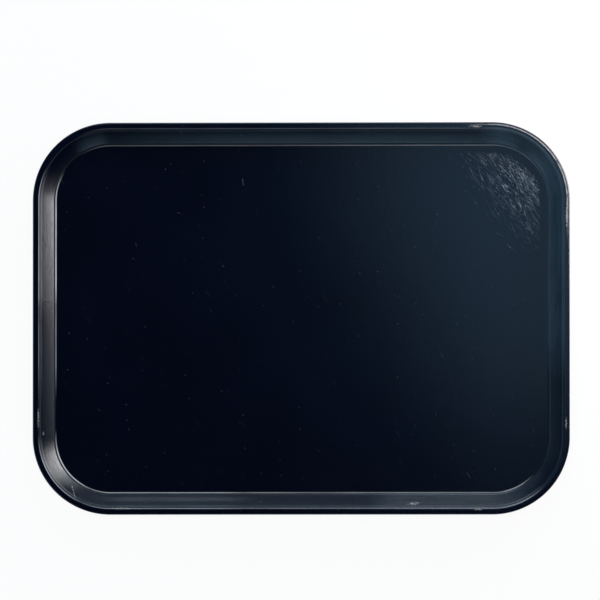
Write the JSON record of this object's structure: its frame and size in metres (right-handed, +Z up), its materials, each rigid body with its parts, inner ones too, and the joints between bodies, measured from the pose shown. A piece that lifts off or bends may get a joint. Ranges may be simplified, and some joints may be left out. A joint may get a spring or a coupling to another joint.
{
  "type": "cafeteria tray",
  "caption": "Shallow rectangular cafeteria tray with round corners, sloping hollowed walls and a flat rolled rim, moulded in dark satin glass-reinforced polyester around a rim rod.",
  "frame": {"origin": "middle of the underside, on the surface that the tray stands on", "axes": "+X along the tray's length, +Y across it towards the back, which is the upper side in the picture, and +Z up"},
  "size_m": [0.415, 0.303, 0.0165],
  "materials": {
    "pigmented_resin": "satin, finely textured by the mould, dark blue-black",
    "glass_mat": "chopped glass strands in dark polyester resin",
    "aluminium": "drawn rod, bare"
  },
  "bodies": {
    "root": {"top_surface_sheet": "pigmented_resin", "upper_glass_mat": "glass_mat", "rim_rod": "aluminium", "corner_patch_back_right": "glass_mat", "corner_patch_back_left": "glass_mat", "corner_patch_front_left": "glass_mat", "corner_patch_front_right": "glass_mat", "lower_glass_mat": "glass_mat", "bottom_surface_sheet": "pigmented_resin"}
  },
  "joints": []
}
